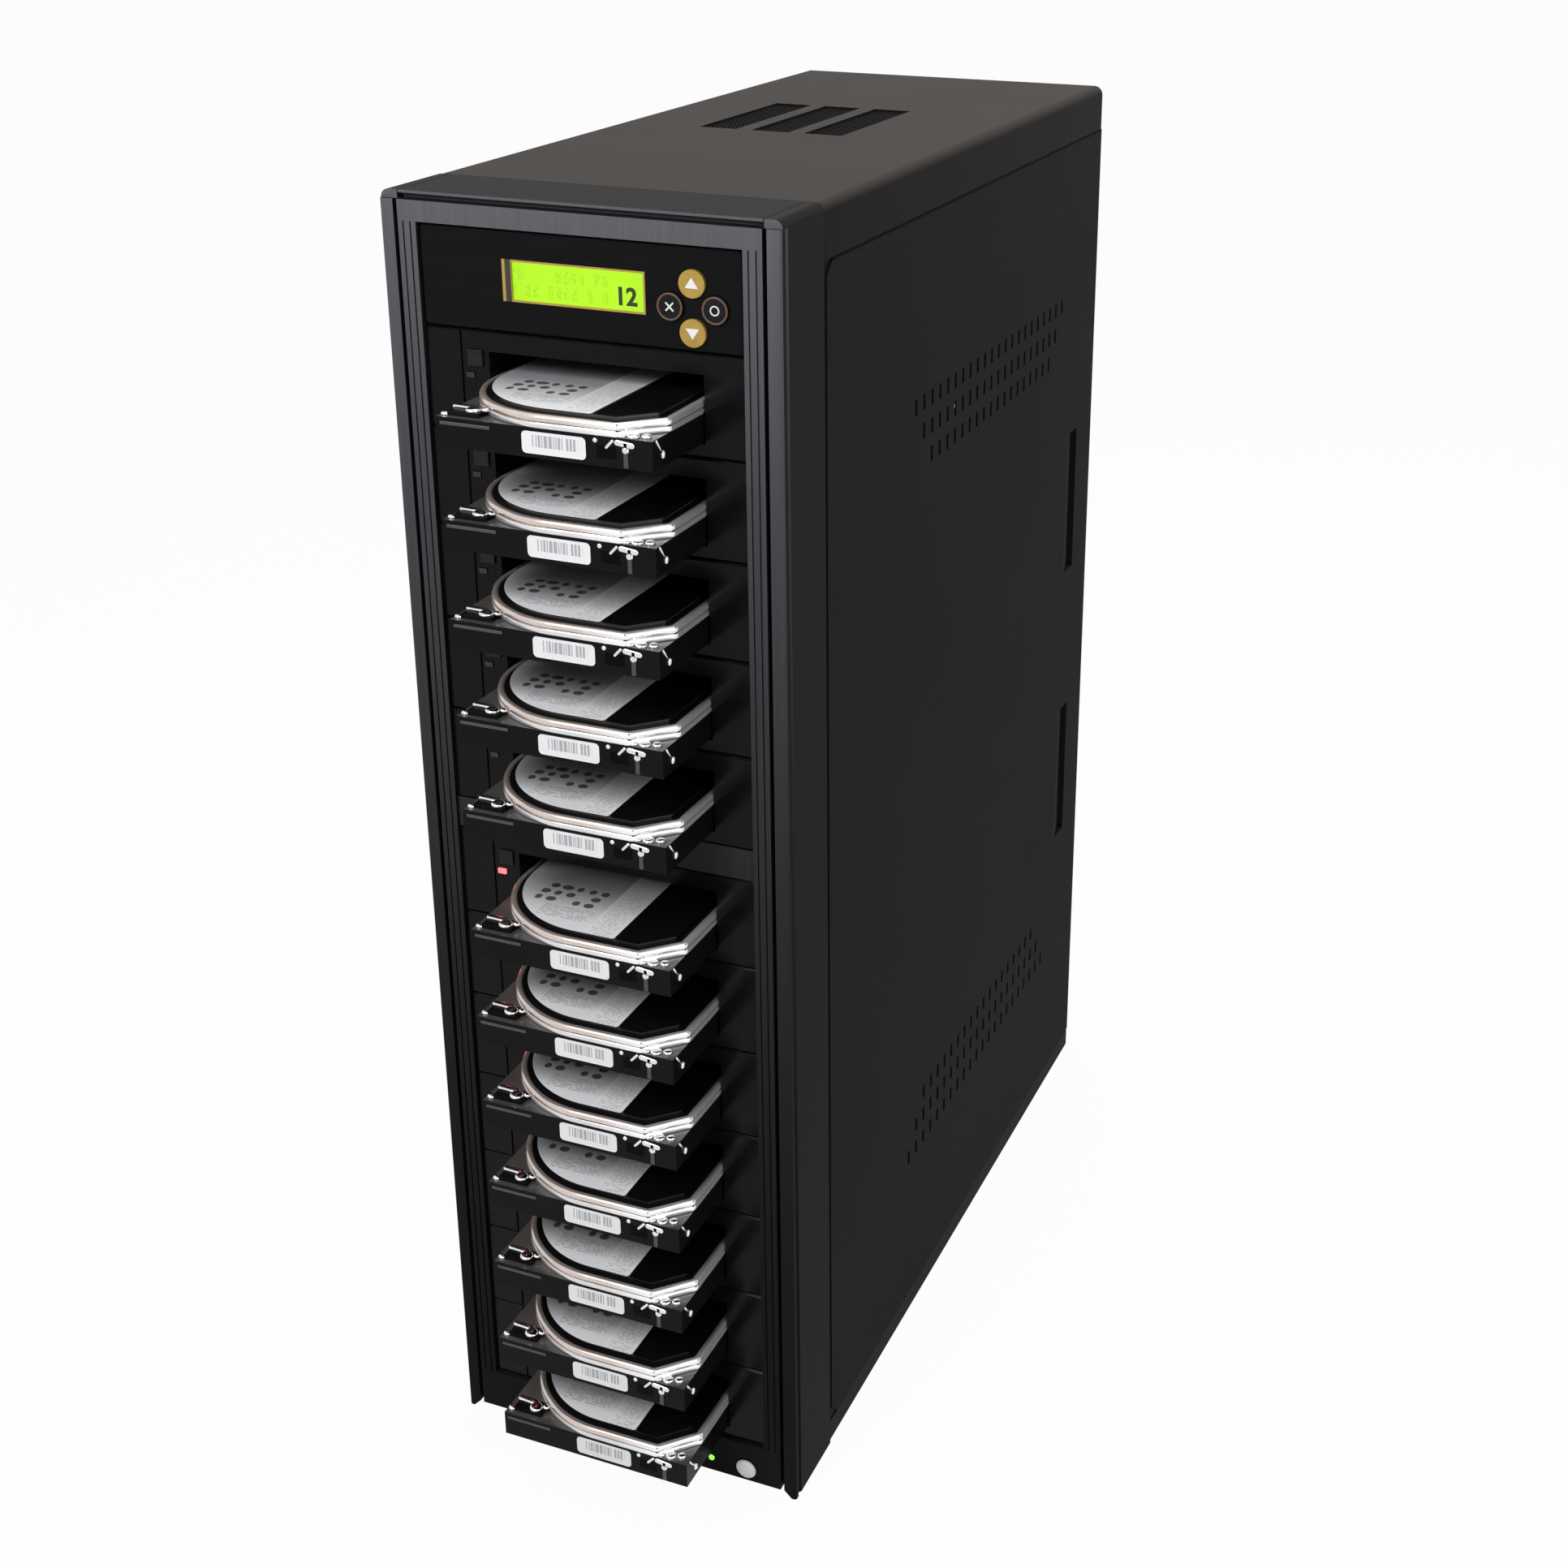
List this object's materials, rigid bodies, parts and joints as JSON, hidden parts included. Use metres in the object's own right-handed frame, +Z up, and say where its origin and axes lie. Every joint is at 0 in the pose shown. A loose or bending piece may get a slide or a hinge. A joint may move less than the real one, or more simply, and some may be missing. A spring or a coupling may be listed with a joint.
{
  "type": "hard disk duplicator tower",
  "caption": "Tall black tower chassis with a lit control panel above a stack of open front bays, each holding a bare disk drive that slides out.",
  "frame": {"origin": "on the surface the tower stands on, under the middle of the whole object", "axes": "+X to the right when facing the front, +Y from the front towards the back, +Z up"},
  "size_m": [0.19, 0.5102, 0.647],
  "materials": {
    "bezel": "dark gunmetal, satin",
    "panel_gloss": "piano black",
    "surround_gold": "gold, satin",
    "display_lit": "lit yellow-green display",
    "rack_plastic": "gloss black",
    "indicator_red": "lit red light pipe",
    "circuit_board": "green laminate",
    "lamp_green": "lit green lens",
    "case_paint": "satin black powder coat",
    "foot_rubber": "matt",
    "vent_mesh": "perforated, black",
    "chassis_steel": "black coated steel",
    "fan_plastic": "black moulded",
    "supply_steel": "dark grey coated steel",
    "inlet_plastic": "black moulded",
    "screw_steel": "black oxide",
    "key_gold": "gold metallic",
    "key_black": "black with a bronze edge",
    "power_metal": "bright metal",
    "rocker_plastic": "black",
    "drive_metal": "machined and cast",
    "button_plastic": "gloss black"
  },
  "bodies": {
    "case": {"bezel_frame": "bezel", "bezel_columns": "bezel", "control_panel": "panel_gloss", "screen_surround": "surround_gold", "screen_module": "display_lit", "bay_racks_upper": "rack_plastic", "bay_racks_lower": "rack_plastic", "bay_indicators": "indicator_red", "backplanes": "circuit_board", "power_lamp": "lamp_green", "bottom_pan": "case_paint", "rubber_feet": "foot_rubber", "top_cover": "case_paint", "vent_screens": "vent_mesh", "front_plate": "chassis_steel", "rear_panel": "case_paint", "bay_cage": "chassis_steel", "controller_board": "circuit_board", "fan_frames": "fan_plastic", "power_supply": "supply_steel", "mains_inlet": "inlet_plastic", "case_screws": "screw_steel"},
    "hard_drive_01": {"hard_drive_01": "drive_metal"},
    "hard_drive_02": {"hard_drive_02": "drive_metal"},
    "hard_drive_03": {"hard_drive_03": "drive_metal"},
    "hard_drive_04": {"hard_drive_04": "drive_metal"},
    "hard_drive_05": {"hard_drive_05": "drive_metal"},
    "hard_drive_06": {"hard_drive_06": "drive_metal"},
    "hard_drive_07": {"hard_drive_07": "drive_metal"},
    "hard_drive_08": {"hard_drive_08": "drive_metal"},
    "hard_drive_09": {"hard_drive_09": "drive_metal"},
    "hard_drive_10": {"hard_drive_10": "drive_metal"},
    "hard_drive_11": {"hard_drive_11": "drive_metal"},
    "hard_drive_12": {"hard_drive_12": "drive_metal"},
    "bay_button_01": {"bay_button_01": "button_plastic"},
    "bay_button_02": {"bay_button_02": "button_plastic"},
    "bay_button_03": {"bay_button_03": "button_plastic"},
    "bay_button_04": {"bay_button_04": "button_plastic"},
    "bay_button_05": {"bay_button_05": "button_plastic"},
    "bay_button_06": {"bay_button_06": "button_plastic"},
    "bay_button_07": {"bay_button_07": "button_plastic"},
    "bay_button_08": {"bay_button_08": "button_plastic"},
    "bay_button_09": {"bay_button_09": "button_plastic"},
    "bay_button_10": {"bay_button_10": "button_plastic"},
    "bay_button_11": {"bay_button_11": "button_plastic"},
    "bay_button_12": {"bay_button_12": "button_plastic"},
    "key_up": {"key_up": "key_gold"},
    "key_down": {"key_down": "key_gold"},
    "key_back": {"key_back": "key_black"},
    "key_enter": {"key_enter": "key_black"},
    "power_button": {"power_button": "power_metal"},
    "side_panel_left": {"side_panel_left": "case_paint", "thumb_screws_left": "screw_steel"},
    "side_panel_right": {"side_panel_right": "case_paint", "thumb_screws_right": "screw_steel"},
    "upper_fan_rotor": {"upper_fan_rotor": "fan_plastic"},
    "lower_fan_rotor": {"lower_fan_rotor": "fan_plastic"},
    "supply_fan_rotor": {"supply_fan_rotor": "fan_plastic"},
    "supply_rocker": {"supply_rocker": "rocker_plastic"}
  },
  "joints": [
    {"name": "drive_01_slide", "type": "slide", "parent": "case", "child": "hard_drive_01", "axis": [0, -1, 0], "range_m": [0, 0.07]},
    {"name": "drive_02_slide", "type": "slide", "parent": "case", "child": "hard_drive_02", "axis": [0, -1, 0], "range_m": [0, 0.07]},
    {"name": "drive_03_slide", "type": "slide", "parent": "case", "child": "hard_drive_03", "axis": [0, -1, 0], "range_m": [0, 0.07]},
    {"name": "drive_04_slide", "type": "slide", "parent": "case", "child": "hard_drive_04", "axis": [0, -1, 0], "range_m": [0, 0.07]},
    {"name": "drive_05_slide", "type": "slide", "parent": "case", "child": "hard_drive_05", "axis": [0, -1, 0], "range_m": [0, 0.07]},
    {"name": "drive_06_slide", "type": "slide", "parent": "case", "child": "hard_drive_06", "axis": [0, -1, 0], "range_m": [0, 0.07]},
    {"name": "drive_07_slide", "type": "slide", "parent": "case", "child": "hard_drive_07", "axis": [0, -1, 0], "range_m": [0, 0.07]},
    {"name": "drive_08_slide", "type": "slide", "parent": "case", "child": "hard_drive_08", "axis": [0, -1, 0], "range_m": [0, 0.07]},
    {"name": "drive_09_slide", "type": "slide", "parent": "case", "child": "hard_drive_09", "axis": [0, -1, 0], "range_m": [0, 0.07]},
    {"name": "drive_10_slide", "type": "slide", "parent": "case", "child": "hard_drive_10", "axis": [0, -1, 0], "range_m": [0, 0.07]},
    {"name": "drive_11_slide", "type": "slide", "parent": "case", "child": "hard_drive_11", "axis": [0, -1, 0], "range_m": [0, 0.07]},
    {"name": "drive_12_slide", "type": "slide", "parent": "case", "child": "hard_drive_12", "axis": [0, -1, 0], "range_m": [0, 0.07]},
    {"name": "bay_01_press", "type": "slide", "parent": "case", "child": "bay_button_01", "axis": [0, 1, 0], "range_m": [0, 0.0016], "stiffness_N_per_m": 200, "springref_m": -0.001},
    {"name": "bay_02_press", "type": "slide", "parent": "case", "child": "bay_button_02", "axis": [0, 1, 0], "range_m": [0, 0.0016], "stiffness_N_per_m": 200, "springref_m": -0.001},
    {"name": "bay_03_press", "type": "slide", "parent": "case", "child": "bay_button_03", "axis": [0, 1, 0], "range_m": [0, 0.0016], "stiffness_N_per_m": 200, "springref_m": -0.001},
    {"name": "bay_04_press", "type": "slide", "parent": "case", "child": "bay_button_04", "axis": [0, 1, 0], "range_m": [0, 0.0016], "stiffness_N_per_m": 200, "springref_m": -0.001},
    {"name": "bay_05_press", "type": "slide", "parent": "case", "child": "bay_button_05", "axis": [0, 1, 0], "range_m": [0, 0.0016], "stiffness_N_per_m": 200, "springref_m": -0.001},
    {"name": "bay_06_press", "type": "slide", "parent": "case", "child": "bay_button_06", "axis": [0, 1, 0], "range_m": [0, 0.0016], "stiffness_N_per_m": 200, "springref_m": -0.001},
    {"name": "bay_07_press", "type": "slide", "parent": "case", "child": "bay_button_07", "axis": [0, 1, 0], "range_m": [0, 0.0016], "stiffness_N_per_m": 200, "springref_m": -0.001},
    {"name": "bay_08_press", "type": "slide", "parent": "case", "child": "bay_button_08", "axis": [0, 1, 0], "range_m": [0, 0.0016], "stiffness_N_per_m": 200, "springref_m": -0.001},
    {"name": "bay_09_press", "type": "slide", "parent": "case", "child": "bay_button_09", "axis": [0, 1, 0], "range_m": [0, 0.0016], "stiffness_N_per_m": 200, "springref_m": -0.001},
    {"name": "bay_10_press", "type": "slide", "parent": "case", "child": "bay_button_10", "axis": [0, 1, 0], "range_m": [0, 0.0016], "stiffness_N_per_m": 200, "springref_m": -0.001},
    {"name": "bay_11_press", "type": "slide", "parent": "case", "child": "bay_button_11", "axis": [0, 1, 0], "range_m": [0, 0.0016], "stiffness_N_per_m": 200, "springref_m": -0.001},
    {"name": "bay_12_press", "type": "slide", "parent": "case", "child": "bay_button_12", "axis": [0, 1, 0], "range_m": [0, 0.0016], "stiffness_N_per_m": 200, "springref_m": -0.001},
    {"name": "key_up_press", "type": "slide", "parent": "case", "child": "key_up", "axis": [0, 1, 0], "range_m": [0, 0.0008], "stiffness_N_per_m": 300, "springref_m": -0.001},
    {"name": "key_down_press", "type": "slide", "parent": "case", "child": "key_down", "axis": [0, 1, 0], "range_m": [0, 0.0008], "stiffness_N_per_m": 300, "springref_m": -0.001},
    {"name": "key_back_press", "type": "slide", "parent": "case", "child": "key_back", "axis": [0, 1, 0], "range_m": [0, 0.0008], "stiffness_N_per_m": 300, "springref_m": -0.001},
    {"name": "key_enter_press", "type": "slide", "parent": "case", "child": "key_enter", "axis": [0, 1, 0], "range_m": [0, 0.0008], "stiffness_N_per_m": 300, "springref_m": -0.001},
    {"name": "power_press", "type": "slide", "parent": "case", "child": "power_button", "axis": [0, 1, 0], "range_m": [0, 0.002], "stiffness_N_per_m": 200, "springref_m": -0.001},
    {"name": "left_panel_slide", "type": "slide", "parent": "case", "child": "side_panel_left", "axis": [0, 1, 0], "range_m": [0, 0.015]},
    {"name": "right_panel_slide", "type": "slide", "parent": "case", "child": "side_panel_right", "axis": [0, 1, 0], "range_m": [0, 0.015]},
    {"name": "upper_fan_spin", "type": "hinge", "parent": "case", "child": "upper_fan_rotor", "pos_m": [0, 0.23335, 0.41], "axis": [0, 1, 0], "continuous": true},
    {"name": "lower_fan_spin", "type": "hinge", "parent": "case", "child": "lower_fan_rotor", "pos_m": [0, 0.23335, 0.2], "axis": [0, 1, 0], "continuous": true},
    {"name": "supply_fan_spin", "type": "hinge", "parent": "case", "child": "supply_fan_rotor", "pos_m": [-0.03, 0.23215, 0.589], "axis": [0, 1, 0], "continuous": true},
    {"name": "rocker_tip", "type": "hinge", "parent": "case", "child": "supply_rocker", "pos_m": [0.038, 0.24585, 0.571], "axis": [1, 0, 0], "range_deg": [0, 14]}
  ]
}
